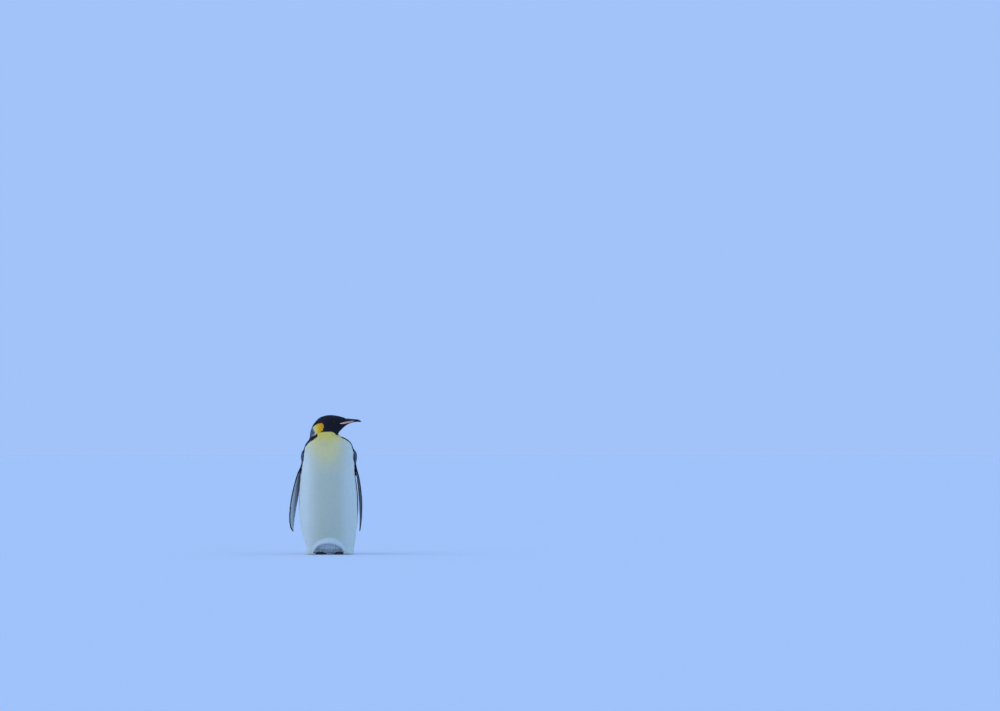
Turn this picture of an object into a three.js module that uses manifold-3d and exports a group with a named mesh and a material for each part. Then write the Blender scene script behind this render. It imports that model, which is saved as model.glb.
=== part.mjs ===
// An emperor penguin at rest, life size, as a still museum model: the body faces -Y and the head
// is turned to the bird's left, +X. Millimetres, +Z up, standing on the plane z = 0.
// The plumage is part of each solid, so these are the outlines of the coat.
import * as THREE from "three";
import { mergeVertices } from "three/addons/utils/BufferGeometryUtils.js";
import Module from "manifold-3d";

const wasm = await Module();
wasm.setup();

// ---- driving dimensions ------------------------------------------------------------------------

const GAP = 0.4; // clearance between neighbouring pieces
const HEM_HEIGHT = 5; // the lowest plumage above the floor
const SHOULDER_TOP = 696;
const LEG_CUT_HEIGHT = 104; // where the feathered legs are parted from the trunk
const NECK_CUT = { x: -60, z: 716, tilt: 0.42 }; // the plane between neck and head
const FLESH_SQUARENESS = 2.15; // exponent of the trunk's section, 2 is an ellipse

const FOLD = { centre: 3, halfWidth: 85, height: 76, rimRadius: 16, recess: 16, bottom: 16, back: 84 };
const FLIPPER = { top: 596, tip: 127, tipCap: 26, rootCap: 36 };
const SHOULDER = { x: 142, y: 8, z: 562, radii: [22, 41, 46] };
const FOOT = { middle: 8, x: 46, toeOut: 0.12, ballY: -54, heelY: 40 };
const TOE = { height: 17, behindBall: 12, taper: 0.28, knuckles: 3, knuckleSwell: 0.07, squareness: 2.2 };
const HEEL = { height: 24, halfWidth: 17, widening: 9, flattening: 6 };
const WEB = { height: 6, behindBall: 14, innerReach: 0.86, outerReach: 0.84, middleReach: 0.78, notch: 0.6 };
const TOES = [
  { name: "inner", angle: -0.3, length: 66, halfWidth: 11 },
  { name: "middle", angle: 0, length: 84, halfWidth: 12 },
  { name: "outer", angle: 0.3, length: 72, halfWidth: 11 },
];
const CLAW = { length: 27, halfWidth: 5, halfHeight: 4.6, rootHeight: 7.6, drop: 4.5, inToe: 9 };
const EYE = { x: 28, z: 766, radius: 8, halfSpan: 37 };
const HEAD_MIDDLE_Y = -6; // the turned head's own middle plane

// ---- interpolation and lofts -------------------------------------------------------------------

// A smooth function through [place, value] pairs, with no overshoot between them.
function smooth(pairs) {
  const last = pairs.length - 1;
  const rise = pairs.slice(1).map(([s, v], i) => (v - pairs[i][1]) / (s - pairs[i][0]));
  const slope = pairs.map((_, i) => {
    if (i === 0) return rise[0];
    if (i === last) return rise[last - 1];
    const [a, b] = [rise[i - 1], rise[i]];
    return a * b <= 0 ? 0 : (2 * a * b) / (a + b);
  });
  return (s) => {
    if (s <= pairs[0][0]) return pairs[0][1];
    if (s >= pairs[last][0]) return pairs[last][1];
    const i = pairs.findIndex(([place]) => place > s) - 1;
    const [[s0, v0], [s1, v1]] = [pairs[i], pairs[i + 1]];
    const step = s1 - s0;
    const t = (s - s0) / step;
    return (
      v0 * (1 + 2 * t) * (1 - t) ** 2 +
      slope[i] * step * t * (1 - t) ** 2 +
      v1 * t * t * (3 - 2 * t) -
      slope[i + 1] * step * t * t * (1 - t)
    );
  };
}

// Places from one end of a loft to the other, each with the share of its section's size: both ends
// are rounded over lowCap and highCap, and the poles have a share of 0.
function roundedEnds(low, high, lowCap, highCap, capRows, rows) {
  const places = [];
  for (let i = 0; i < capRows; i++) {
    const a = ((i / capRows) * Math.PI) / 2;
    places.push({ at: low + lowCap * (1 - Math.cos(a)), share: Math.sin(a) });
  }
  for (let i = 0; i <= rows; i++) {
    places.push({ at: low + lowCap + ((high - highCap - low - lowCap) * i) / rows, share: 1 });
  }
  for (let i = 1; i <= capRows; i++) {
    const a = ((1 - i / capRows) * Math.PI) / 2;
    places.push({ at: high - highCap * (1 - Math.cos(a)), share: Math.sin(a) });
  }
  return places;
}

const power = (value, n) => Math.sign(value) * Math.abs(value) ** (2 / n);

// A closed loft: a sphere's rows are moved onto sections. Each section has a middle, a front, a
// back and a side arrow, and an exponent n; the front and back arrows may differ in length.
function loft(places, around, sectionAt) {
  const rows = places.length - 1;
  const geometry = new THREE.SphereGeometry(1, around, rows);
  const position = geometry.getAttribute("position");
  const point = new THREE.Vector3();
  for (let row = 0; row <= rows; row++) {
    const place = places[rows - row];
    const { middle, front, back, side, n = 2 } = sectionAt(place.at);
    for (let column = 0; column <= around; column++) {
      const turn = ((column % around) / around) * 2 * Math.PI;
      const across = -power(Math.cos(turn), n) * place.share;
      const along = power(Math.sin(turn), n) * place.share;
      point.copy(middle).addScaledVector(side, across);
      point.addScaledVector(along > 0 ? front : back, Math.abs(along));
      position.setXYZ(row * (around + 1) + column, point.x, point.y, point.z);
    }
  }
  return geometry;
}

function solid(geometry) {
  const bare = geometry.clone();
  bare.deleteAttribute("normal");
  bare.deleteAttribute("uv");
  const merged = mergeVertices(bare, 1e-3);
  return new wasm.Manifold(
    new wasm.Mesh({
      numProp: 3,
      vertProperties: merged.getAttribute("position").array,
      triVerts: new Uint32Array(merged.index.array),
    }),
  );
}

function boxSolid(low, high) {
  const size = high.map((v, i) => v - low[i]);
  const box = new THREE.BoxGeometry(...size);
  box.translate(...low.map((v, i) => v + size[i] / 2));
  return solid(box);
}

const FAR = 2000;
const above = (z) => boxSolid([-FAR, -FAR, z], [FAR, FAR, FAR]);
const below = (z) => boxSolid([-FAR, -FAR, -FAR], [FAR, FAR, z]);

const vector = (x, y, z) => new THREE.Vector3(x, y, z);

// ---- trunk -------------------------------------------------------------------------------------

const trunkMiddle = smooth([
  [5, 8],
  [80, 5],
  [140, 1],
  [300, -1],
  [450, -4],
  [560, -1],
  [670, -2],
]);
const trunkHalfWidth = smooth([
  [5, 137],
  [52, 143],
  [81, 150],
  [139, 161],
  [197, 168],
  [255, 172],
  [313, 173],
  [371, 169],
  [430, 163],
  [518, 152],
  [590, 145],
  [624, 142.5],
  [646, 135],
  [658, 122],
  [667, 107],
  [675, 88],
  [696, 62],
]);
const trunkFront = smooth([
  [5, 112],
  [60, 138],
  [140, 158],
  [250, 168],
  [380, 157],
  [500, 132],
  [590, 108],
  [640, 88],
  [675, 70],
  [696, 50],
]);
const trunkBack = smooth([
  [5, 88],
  [60, 112],
  [140, 130],
  [300, 149],
  [430, 147],
  [540, 130],
  [620, 106],
  [675, 76],
  [696, 50],
]);

function trunkSolid(grow) {
  const places = roundedEnds(HEM_HEIGHT - grow, SHOULDER_TOP + grow, 8, 8, 2, 22);
  return solid(
    loft(places, 28, (z) => ({
      middle: vector(trunkMiddle(z), 0, z),
      side: vector(trunkHalfWidth(z) + grow, 0, 0),
      front: vector(0, -trunkFront(z) - grow, 0),
      back: vector(0, trunkBack(z) + grow, 0),
      n: FLESH_SQUARENESS,
    })),
  );
}

// How far the trunk's front surface lies towards -Y at a place seen from the front.
function trunkFrontAt(x, z) {
  const share = Math.min(1, Math.abs(x - trunkMiddle(z)) / trunkHalfWidth(z));
  return trunkFront(z) * (1 - share ** FLESH_SQUARENESS) ** (1 / FLESH_SQUARENESS);
}

// ---- brood fold --------------------------------------------------------------------------------

// The arched mouth under the belly, as a prism that runs from in front of the bird to its feet.
function foldArch(shrink, bottom) {
  const arch = new THREE.Shape();
  const [halfWidth, height] = [FOLD.halfWidth - shrink, FOLD.height - shrink];
  arch.moveTo(-halfWidth, bottom);
  arch.lineTo(halfWidth, bottom);
  arch.lineTo(halfWidth, FOLD.bottom);
  arch.absellipse(0, FOLD.bottom, halfWidth, height - FOLD.bottom, 0, Math.PI, false);
  const prism = new THREE.ExtrudeGeometry(arch, { depth: 250, bevelEnabled: false, curveSegments: 12 });
  prism.rotateX(Math.PI / 2);
  prism.translate(FOLD.centre, -FOLD.back - shrink, 0);
  return solid(prism);
}

// The rolled edge of the belly, which follows the arch on the trunk's surface.
function foldRim(grow) {
  const points = [];
  for (let i = 0; i <= 12; i++) {
    const a = (i / 12) * Math.PI;
    const x = FOLD.centre - Math.cos(a) * FOLD.halfWidth;
    const z = FOLD.bottom + Math.sin(a) * (FOLD.height - FOLD.bottom);
    const y = -trunkFrontAt(x, z) + FOLD.rimRadius * 0.45;
    points.push(vector(x, y, z));
  }
  const path = new THREE.CatmullRomCurve3(points);
  const places = roundedEnds(0, 1, 0.04, 0.04, 2, 12);
  return solid(
    loft(places, 8, (t) => {
      const forward = path.getTangent(t);
      const front = vector(0, -1, 0).addScaledVector(forward, forward.y).normalize();
      const side = forward.clone().cross(front);
      const radius = FOLD.rimRadius * (0.5 + 0.5 * Math.sin(t * Math.PI)) + grow;
      return {
        middle: path.getPoint(t),
        side: side.multiplyScalar(radius),
        front: front.clone().multiplyScalar(radius),
        back: front.clone().multiplyScalar(-radius),
      };
    }),
  );
}

// ---- neck and head -----------------------------------------------------------------------------

// Each section runs from a point of the nape, crown and forehead line to one of the throat line,
// in the turned head's middle plane: nape [x, z], throat [x, z] and half the width across it.
const NECK_AND_HEAD = [
  { nape: [-99, 612], throat: [74, 612], half: 92 },
  { nape: [-109, 655], throat: [62, 660], half: 82 },
  { nape: [-112, 694], throat: [54, 690], half: 71 },
  { nape: [-103, 729], throat: [59, 704], half: 61 },
  { nape: [-80, 767], throat: [69.5, 717], half: 53 },
  { nape: [-44, 797], throat: [80.5, 728], half: 47 },
  { nape: [5, 807], throat: [92.5, 738.5], half: 41 },
  { nape: [48, 802.5], throat: [104, 747], half: 32 },
  { nape: [78, 795], throat: [113.5, 752.5], half: 22 },
  { nape: [99, 789], throat: [124.5, 758], half: 13 },
];
const HEAD_BULGE = 0.12; // the sections are fuller towards the crown than the throat

function rail(key, i) {
  return smooth(NECK_AND_HEAD.map((section, row) => [row, key ? section[key][i] : section.half]));
}
const napeX = rail("nape", 0);
const napeZ = rail("nape", 1);
const throatX = rail("throat", 0);
const throatZ = rail("throat", 1);
const headHalf = rail(null);

function neckAndHeadSolid(grow) {
  const places = roundedEnds(0, NECK_AND_HEAD.length - 1, 0.3, 0.35, 2, 20);
  return solid(
    loft(places, 20, (s) => {
      const nape = vector(napeX(s), HEAD_MIDDLE_Y, napeZ(s));
      const throat = vector(throatX(s), HEAD_MIDDLE_Y, throatZ(s));
      const reach = throat.clone().sub(nape);
      const outward = reach.clone().normalize();
      const middle = nape.clone().addScaledVector(reach, 0.5 - HEAD_BULGE * Math.min(1, s / 4));
      return {
        middle,
        front: throat.clone().sub(middle).addScaledVector(outward, grow),
        back: nape.clone().sub(middle).addScaledVector(outward, -grow),
        side: vector(0, headHalf(s) + grow, 0),
        n: 2.1,
      };
    }),
  );
}

// ---- bill --------------------------------------------------------------------------------------

const BILL = { root: 84, tip: 189 };
const culmen = smooth([
  [84, 785],
  [101, 786.5],
  [124, 784.5],
  [147, 782.5],
  [168, 780.5],
  [181, 775],
  [189, 767.5],
]);
const mouthLine = smooth([
  [60, 757],
  [84, 762.5],
  [110, 769],
  [145, 773],
  [168, 772.5],
  [182, 768.5],
  [189, 764.5],
]);
const billKeel = smooth([
  [60, 749],
  [84, 750],
  [110, 754],
  [136, 762.5],
  [153, 765.5],
  [170, 766.5],
  [184, 764.5],
]);
const billHalf = smooth([
  [60, 30],
  [84, 19],
  [110, 12],
  [145, 7.4],
  [175, 5],
  [189, 2.6],
]);

function billSolid(low, high, root, tip, grow) {
  const places = roundedEnds(root, tip + grow, 3, 5, 2, 11);
  return solid(
    loft(places, 10, (x) => {
      const [bottom, top] = [low(x) - grow, high(x) + grow];
      const middle = (bottom + top) / 2;
      return {
        middle: vector(x, HEAD_MIDDLE_Y, middle),
        side: vector(0, billHalf(x) + grow, 0),
        front: vector(0, 0, bottom - middle),
        back: vector(0, 0, top - middle),
      };
    }),
  );
}
const mouthGap = (x) => mouthLine(x) + GAP;
const upperBill = (grow) => billSolid(mouthGap, culmen, BILL.root, BILL.tip, grow);
const lowerBill = (grow) => billSolid(billKeel, mouthLine, BILL.root, BILL.tip - 5, grow);

// The horny plate along each side of the lower bill: a leaf-shaped strip of a slightly grown head
// and bill, from the corner of the mouth to past the middle of the bill.
const PLATE = { back: 66, front: 153, thickness: 1.3, depth: 8.6 };
function billPlate(side, head) {
  const strip = new THREE.Shape();
  const steps = 8;
  const x = (i) => PLATE.back + ((PLATE.front - PLATE.back) * i) / steps;
  const depth = (i) => PLATE.depth * Math.sin(Math.PI * Math.min(1, 0.06 + i / steps)) ** 0.7;
  for (let i = 0; i <= steps; i++) {
    strip[i ? "lineTo" : "moveTo"](x(i), mouthLine(x(i)) - 0.3);
  }
  for (let i = steps - 1; i >= 0; i--) {
    strip.lineTo(x(i), mouthLine(x(i)) - 0.6 - depth(i));
  }
  const prism = new THREE.ExtrudeGeometry(strip, { depth: 100, bevelEnabled: false });
  prism.rotateX(Math.PI / 2);
  prism.translate(0, side < 0 ? HEAD_MIDDLE_Y - 1 : HEAD_MIDDLE_Y + 101, 0);
  const shell = neckAndHeadSolid(PLATE.thickness).add(lowerBill(PLATE.thickness));
  return shell.intersect(solid(prism)).subtract(head).subtract(lowerBill(GAP));
}

// ---- eyes --------------------------------------------------------------------------------------

function eyeBall(side, grow) {
  const ball = new THREE.SphereGeometry(EYE.radius + grow, 10, 8);
  ball.translate(EYE.x, HEAD_MIDDLE_Y + side * EYE.halfSpan, EYE.z);
  return solid(ball);
}

// ---- flippers ----------------------------------------------------------------------------------

const flipperChord = smooth([
  [127, 22],
  [145, 38],
  [180, 58],
  [250, 79],
  [340, 92],
  [440, 90],
  [520, 80],
  [596, 66],
]);
const flipperHalfThickness = smooth([
  [127, 3],
  [200, 4.4],
  [320, 5.3],
  [440, 6.2],
  [520, 8.5],
  [596, 10],
]);
// How far out each flipper's middle line hangs, and how far its leading edge turns outwards
// (radians), which shows its pale inner face to the front.
const HANG = {
  right: {
    side: -1,
    out: smooth([
      [127, 208.5],
      [161, 216.5],
      [191, 217],
      [222, 214.5],
      [252, 211.6],
      [313, 202],
      [374, 190.7],
      [435, 180.8],
      [466, 175.2],
      [480, 168],
      [490, 162.5],
      [515, 153.5],
      [540, 147],
      [596, 132],
    ]),
    twist: smooth([
      [127, 0.42],
      [222, 0.46],
      [313, 0.45],
      [374, 0.41],
      [435, 0.25],
      [466, 0.15],
      [596, 0.08],
    ]),
  },
  left: {
    side: 1,
    out: smooth([
      [127, 177],
      [161, 181],
      [228, 184.4],
      [283, 184.3],
      [313, 183],
      [374, 177.8],
      [435, 169.8],
      [461, 165.5],
      [476, 159.5],
      [496, 154],
      [533, 147],
      [596, 132],
    ]),
    twist: smooth([
      [127, 0.12],
      [228, 0.2],
      [313, 0.22],
      [405, 0.2],
      [466, 0.15],
      [596, 0.08],
    ]),
  },
};
const flipperY = smooth([
  [127, 34],
  [200, 26],
  [330, 19],
  [470, 17],
  [540, 12],
  [596, 8],
]);

function flipperSolid({ side, out, twist }, grow) {
  const [low, high] = [FLIPPER.tip - grow, FLIPPER.top + grow];
  const places = roundedEnds(low, high, FLIPPER.tipCap, FLIPPER.rootCap, 3, 14);
  return solid(
    loft(places, 12, (z) => {
      const turn = twist(z);
      const halfChord = flipperChord(z) / 2 + grow;
      const half = flipperHalfThickness(z) + grow;
      const forward = vector(side * Math.sin(turn), -Math.cos(turn), 0);
      const across = vector(Math.cos(turn), side * Math.sin(turn), 0);
      return {
        middle: vector(side * out(z), flipperY(z), z),
        front: forward.clone().multiplyScalar(halfChord),
        back: forward.clone().multiplyScalar(-halfChord),
        side: across.multiplyScalar(half),
        n: 1.9,
      };
    }),
  );
}

// The rounded shoulder at the root of each flipper.
function shoulderBulge(side, grow) {
  const ball = new THREE.SphereGeometry(1, 12, 8);
  ball.scale(...SHOULDER.radii.map((radius) => radius + grow));
  ball.translate(side * SHOULDER.x, SHOULDER.y, SHOULDER.z);
  return solid(ball);
}

// ---- tail --------------------------------------------------------------------------------------

const TAIL = { root: vector(3, 84, 142), tip: vector(3, 172, 8) };
const tailHalfWidth = smooth([
  [0, 62],
  [0.45, 50],
  [0.75, 37],
  [1, 24],
]);
const tailHalfThickness = smooth([
  [0, 34],
  [0.45, 22],
  [0.75, 10],
  [1, 4.5],
]);
function tailSolid(grow) {
  const axis = TAIL.tip.clone().sub(TAIL.root);
  const upward = vector(0, -axis.z, axis.y).normalize();
  const places = roundedEnds(0, 1, 0.05, 0.16, 2, 6);
  return solid(
    loft(places, 12, (t) => {
      const half = tailHalfThickness(1 - t) + grow;
      return {
        middle: TAIL.tip.clone().addScaledVector(axis, -t),
        side: vector(tailHalfWidth(1 - t) + grow, 0, 0),
        front: upward.clone().multiplyScalar(-half),
        back: upward.clone().multiplyScalar(half),
      };
    }),
  );
}

// ---- feet and claws ----------------------------------------------------------------------------

const toeDirection = (side, toe) => {
  const turn = FOOT.toeOut + toe.angle;
  return vector(side * Math.sin(turn), -Math.cos(turn), 0);
};
const ballOf = (side) => vector(FOOT.middle + side * FOOT.x, FOOT.ballY, 0);

function toeSolid(side, toe, grow) {
  const forward = toeDirection(side, toe);
  const across = vector(0, 0, 1).cross(forward);
  const start = ballOf(side).addScaledVector(forward, -TOE.behindBall);
  const length = toe.length + TOE.behindBall;
  const places = roundedEnds(0, length + grow, 8, 9, 2, 7);
  return solid(
    loft(places, 8, (s) => {
      const share = s / length;
      const knuckle = 1 + TOE.knuckleSwell * Math.cos(share * TOE.knuckles * 2 * Math.PI);
      const taper = 1 - TOE.taper * share;
      const height = TOE.height * (1.12 - 0.34 * share) * knuckle;
      return {
        middle: start.clone().addScaledVector(forward, s).setZ(height * 0.3),
        side: across.clone().multiplyScalar(toe.halfWidth * taper * knuckle + grow),
        front: vector(0, 0, -height),
        back: vector(0, 0, height * 0.7 + grow),
        n: TOE.squareness,
      };
    }),
  );
}

function webSolid(side, grow) {
  const outline = new THREE.Shape();
  const ball = ballOf(side);
  const reach = (toe, share) => ball.clone().addScaledVector(toeDirection(side, toe), toe.length * share);
  const [inner, middle, outer] = TOES;
  const [first, notch, middleTip, last] = [
    reach(inner, WEB.innerReach),
    reach(middle, WEB.notch),
    reach(middle, WEB.middleReach),
    reach(outer, WEB.outerReach),
  ];
  outline.moveTo(ball.x, ball.y + WEB.behindBall);
  outline.lineTo(first.x, first.y);
  outline.quadraticCurveTo(notch.x, notch.y, middleTip.x, middleTip.y);
  outline.quadraticCurveTo(notch.x, notch.y, last.x, last.y);
  outline.closePath();
  const web = new THREE.ExtrudeGeometry(outline, {
    depth: WEB.height + grow,
    bevelEnabled: false,
    curveSegments: 4,
  });
  return solid(web);
}

function heelSolid(side, grow) {
  const start = ballOf(side).setY(FOOT.heelY);
  const length = FOOT.heelY - FOOT.ballY + TOE.behindBall;
  const places = roundedEnds(0, length, 16, 14, 2, 3);
  return solid(
    loft(places, 10, (s) => ({
      middle: start.clone().add(vector(0, -s, HEEL.height / 2)),
      side: vector(HEEL.halfWidth + HEEL.widening * (s / length) + grow, 0, 0),
      front: vector(0, 0, -HEEL.height),
      back: vector(0, 0, HEEL.height / 2 - HEEL.flattening * (s / length) + grow),
      n: TOE.squareness,
    })),
  );
}

function footSolid(side, grow) {
  const whole = TOES.reduce(
    (sum, toe) => sum.add(toeSolid(side, toe, grow)),
    heelSolid(side, grow).add(webSolid(side, grow)),
  );
  return whole.intersect(above(grow ? -1 : 0));
}

function clawSolid(side, toe) {
  const forward = toeDirection(side, toe);
  const across = vector(0, 0, 1).cross(forward);
  const start = ballOf(side).addScaledVector(forward, toe.length - CLAW.inToe);
  const bend = (s) => CLAW.rootHeight - CLAW.drop * (s / CLAW.length) ** 2;
  const places = roundedEnds(0, CLAW.length, 2, 3, 1, 4);
  return solid(
    loft(places, 8, (s) => {
      const share = 1 - 0.8 * (s / CLAW.length) ** 1.3;
      return {
        middle: start.clone().addScaledVector(forward, s).setZ(bend(s)),
        side: across.clone().multiplyScalar(CLAW.halfWidth * share),
        front: vector(0, 0, -CLAW.halfHeight * 0.7 * share),
        back: vector(0, 0, CLAW.halfHeight * share),
      };
    }),
  );
}

// ---- assembly ----------------------------------------------------------------------------------

const model = new THREE.Group();
model.name = "emperor_penguin";

function finish(name, hex, roughness) {
  return new THREE.MeshStandardMaterial({ name, color: hex, roughness, metalness: 0 });
}
const FINISH = {
  white: finish("white_plumage", 0xe9e6d2, 0.8),
  black: finish("black_plumage", 0x17181d, 0.7),
  slate: finish("slate_plumage", 0x4c5666, 0.7),
  foot: finish("foot_skin", 0x23211f, 0.6),
  horn: finish("dark_horn", 0x17161a, 0.35),
  plate: finish("bill_plate", 0xd69a8c, 0.35),
  eye: finish("eye", 0x120c09, 0.1),
};

function add(name, manifold, material) {
  const whole = manifold.decompose().sort((a, b) => b.volume() - a.volume())[0];
  const mesh = whole.getMesh();
  const geometry = new THREE.BufferGeometry();
  geometry.setAttribute("position", new THREE.BufferAttribute(new Float32Array(mesh.vertProperties), 3));
  geometry.setIndex(new THREE.BufferAttribute(new Uint32Array(mesh.triVerts), 1));
  geometry.computeVertexNormals();
  const node = new THREE.Mesh(geometry, material);
  node.name = name;
  model.add(node);
}

const trunk = trunkSolid(0);
const trunkKeepOut = trunkSolid(GAP);
const fold = trunkSolid(-FOLD.recess)
  .intersect(foldArch(GAP, FOLD.bottom))
  .add(foldRim(0).intersect(above(HEM_HEIGHT + 4)));
const foldKeepOut = foldArch(0, -10).add(foldRim(GAP));
const bothFeet = footSolid(-1, GAP).add(footSolid(1, GAP));
const tailKeepOut = tailSolid(GAP);

add("trunk", trunk.intersect(above(LEG_CUT_HEIGHT)), FINISH.white);
add("brood_fold", fold.subtract(bothFeet), FINISH.white);
const lower = trunk
  .intersect(below(LEG_CUT_HEIGHT - GAP))
  .subtract(foldKeepOut)
  .subtract(bothFeet);
const halfSpace = {
  right: boxSolid([-FAR, -FAR, -FAR], [FOOT.middle - GAP / 2, FAR, FAR]),
  left: boxSolid([FOOT.middle + GAP / 2, -FAR, -FAR], [FAR, FAR, FAR]),
};
add("tail", tailSolid(0).subtract(trunkKeepOut), FINISH.black);
for (const [name, side] of [
  ["right", -1],
  ["left", 1],
]) {
  add(`${name}_leg`, lower.intersect(halfSpace[name]), FINISH.white);
  const foot = footSolid(side, 0);
  add(`${name}_foot`, foot, FINISH.foot);
  for (const toe of TOES) {
    const claw = clawSolid(side, toe).subtract(footSolid(side, GAP));
    add(`${name}_${toe.name}_claw`, claw, FINISH.horn);
  }
  const flipper = flipperSolid(HANG[name], 0).add(shoulderBulge(side, 0));
  add(`${name}_flipper`, flipper.subtract(trunkKeepOut), FINISH.slate);
}

const flippersKeepOut = flipperSolid(HANG.right, GAP)
  .add(flipperSolid(HANG.left, GAP))
  .add(shoulderBulge(-1, GAP))
  .add(shoulderBulge(1, GAP));
const neckAndHead = neckAndHeadSolid(0).subtract(trunkKeepOut).subtract(flippersKeepOut);
const headPlane = vector(Math.sin(NECK_CUT.tilt), 0, Math.cos(NECK_CUT.tilt));
const cutAt = vector(NECK_CUT.x, 0, NECK_CUT.z).dot(headPlane);
const eyesKeepOut = eyeBall(-1, GAP).add(eyeBall(1, GAP));
const billKeepOut = upperBill(GAP).add(lowerBill(GAP));
const neckPart = neckAndHead.splitByPlane(headPlane.toArray(), cutAt)[1];
const headPart = neckAndHead.splitByPlane(headPlane.toArray(), cutAt + GAP)[0];
add("neck", neckPart, FINISH.white);
add("head", headPart.subtract(eyesKeepOut).subtract(billKeepOut), FINISH.black);
add("upper_bill", upperBill(0), FINISH.horn);
add("lower_bill", lowerBill(0), FINISH.horn);
const headKeepOut = neckAndHeadSolid(GAP).add(upperBill(GAP));
for (const [name, side] of [
  ["right", -1],
  ["left", 1],
]) {
  add(`${name}_bill_plate`, billPlate(side, headKeepOut), FINISH.plate);
  add(`${name}_eye`, eyeBall(side, 0), FINISH.eye);
}

// The frame's origin lies on the floor, under the middle of the whole bird's bounding box.
const extent = new THREE.Box3().setFromObject(model);
model.position.set(-(extent.min.x + extent.max.x) / 2, -(extent.min.y + extent.max.y) / 2, -extent.min.z);

export default model;
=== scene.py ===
"""The looks of a life-size emperor penguin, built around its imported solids.

The flesh is one skin, remeshed from the solids and drawn in by the depth of the plumage. The
plumage is many small closed vanes that lie along the body. Bill, eyes and claws are pieces of
their own. Metres throughout, +Z up; the bird faces -Y and its head is turned to +X.
"""

import math

import bmesh
import bpy
import numpy as np
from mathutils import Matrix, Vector
from mathutils.bvhtree import BVHTree
from mathutils.kdtree import KDTree


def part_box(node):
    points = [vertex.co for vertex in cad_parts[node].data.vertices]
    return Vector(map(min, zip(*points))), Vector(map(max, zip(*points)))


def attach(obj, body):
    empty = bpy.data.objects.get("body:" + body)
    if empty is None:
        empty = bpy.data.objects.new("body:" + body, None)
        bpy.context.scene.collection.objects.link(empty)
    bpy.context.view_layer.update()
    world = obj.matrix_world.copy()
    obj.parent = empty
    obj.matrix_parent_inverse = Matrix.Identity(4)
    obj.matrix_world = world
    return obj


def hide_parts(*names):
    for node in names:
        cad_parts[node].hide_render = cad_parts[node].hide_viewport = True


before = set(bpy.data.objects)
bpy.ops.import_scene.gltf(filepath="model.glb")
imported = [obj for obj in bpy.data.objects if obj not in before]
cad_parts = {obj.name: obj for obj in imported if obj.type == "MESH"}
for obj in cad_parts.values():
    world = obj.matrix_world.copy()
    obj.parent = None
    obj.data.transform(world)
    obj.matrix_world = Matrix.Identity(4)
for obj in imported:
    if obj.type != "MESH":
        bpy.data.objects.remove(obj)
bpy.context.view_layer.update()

# ---- places and sizes --------------------------------------------------------------------------

BODY = "root"
BILL_REACH = 0.189  # from the body's middle plane to the tip of the bill
MIDDLE_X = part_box("upper_bill")[1].x - BILL_REACH
HEAD_Y = (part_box("right_eye")[0].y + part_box("left_eye")[1].y) / 2  # the turned head's own plane
BODY_Y = HEAD_Y + 0.006
BILL_ROOT = np.array([MIDDLE_X + 0.118, HEAD_Y, 0.77])
EYES = [np.array(sum(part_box(f"{side}_eye"), Vector()) / 2) for side in ("right", "left")]
EYE_RADIUS = (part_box("right_eye")[1].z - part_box("right_eye")[0].z) / 2

EYE_OPENING = (0.0062, 0.0047)  # half the length and height between the lids
LID_REACH = 0.0101  # from the middle of the eye to where the lids meet the feathers
LID_THICKNESS = 0.0012
LID_PROUD = 0.0002  # of the feathers at its outer edge
LID_SWELL = 0.0004
LID_LEAST_DEPTH = 0.0042
LID_TILT = math.radians(12)

FLESH = (
    "trunk",
    "brood_fold",
    "tail",
    "right_leg",
    "left_leg",
    "right_foot",
    "left_foot",
    "right_flipper",
    "left_flipper",
    "neck",
    "head",
)
CLAWS = [f"{side}_{toe}_claw" for side in ("right", "left") for toe in ("inner", "middle", "outer")]

SIDES = {"right": -1, "left": 1}  # the way from the body's middle to each side, along X
TRUNK_LIKE = ("trunk", "right_leg", "left_leg", "brood_fold")
LEGS = ("right_leg", "left_leg")
FEET = ("right_foot", "left_foot")
FLIPPERS = ("right_flipper", "left_flipper")

SKIN_VOXEL = 0.0031
GAP_CLOSING = 0.0006  # how far the solids grow before they are joined, to close the cuts
FLIPPER_SPREAD = 0.005  # how far a flipper is held off the trunk while the skin is remeshed
FLIPPER_ROOT = 0.5  # the height above which a flipper isn't spread
SPREAD_OVER = 0.08  # the height over which the spread grows

# The plumage of each solid, in metres: how deep the skin lies under the tips of the vanes, their
# length, width, spacing and the lift of their tips. passes says how much the skin is eased.
LEG_COAT = dict(depth=0.0024, length=0.021, width=0.0066, spacing=0.0037, lift=0.0019, passes=34)
FLIPPER_COAT = dict(depth=0.0009, length=0.007, width=0.0036, spacing=0.0025, lift=0.0005, passes=6)
BARE_FOOT = dict(depth=0.0, length=0.0, width=0.0, spacing=0.0, lift=0.0, passes=3)
COATS = {
    "trunk": dict(depth=0.0024, length=0.021, width=0.0076, spacing=0.0039, lift=0.001, passes=110),
    "brood_fold": dict(depth=0.0024, length=0.018, width=0.0052, spacing=0.0035, lift=0.0026, passes=7),
    "neck": dict(depth=0.002, length=0.015, width=0.0056, spacing=0.003, lift=0.0011, passes=90),
    "head": dict(depth=0.0012, length=0.008, width=0.0032, spacing=0.0019, lift=0.0006, passes=9),
    "tail": dict(depth=0.003, length=0.03, width=0.008, spacing=0.006, lift=0.0016, passes=12),
    **dict.fromkeys(LEGS, LEG_COAT),
    **dict.fromkeys(FLIPPERS, FLIPPER_COAT),
    **dict.fromkeys(FEET, BARE_FOOT),
}

rng = np.random.default_rng(38)


def on_parts(part, names):
    """Where part, an array of places in FLESH, is one of the named solids."""
    return np.isin(part, [FLESH.index(name) for name in names])


def smoothstep(low, high, value):
    """0 at low, 1 at high and an easy rise between them; low may be the greater."""
    t = np.clip((np.asarray(value, float) - low) / (np.asarray(high) - low), 0, 1)
    return t * t * (3 - 2 * t)


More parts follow.
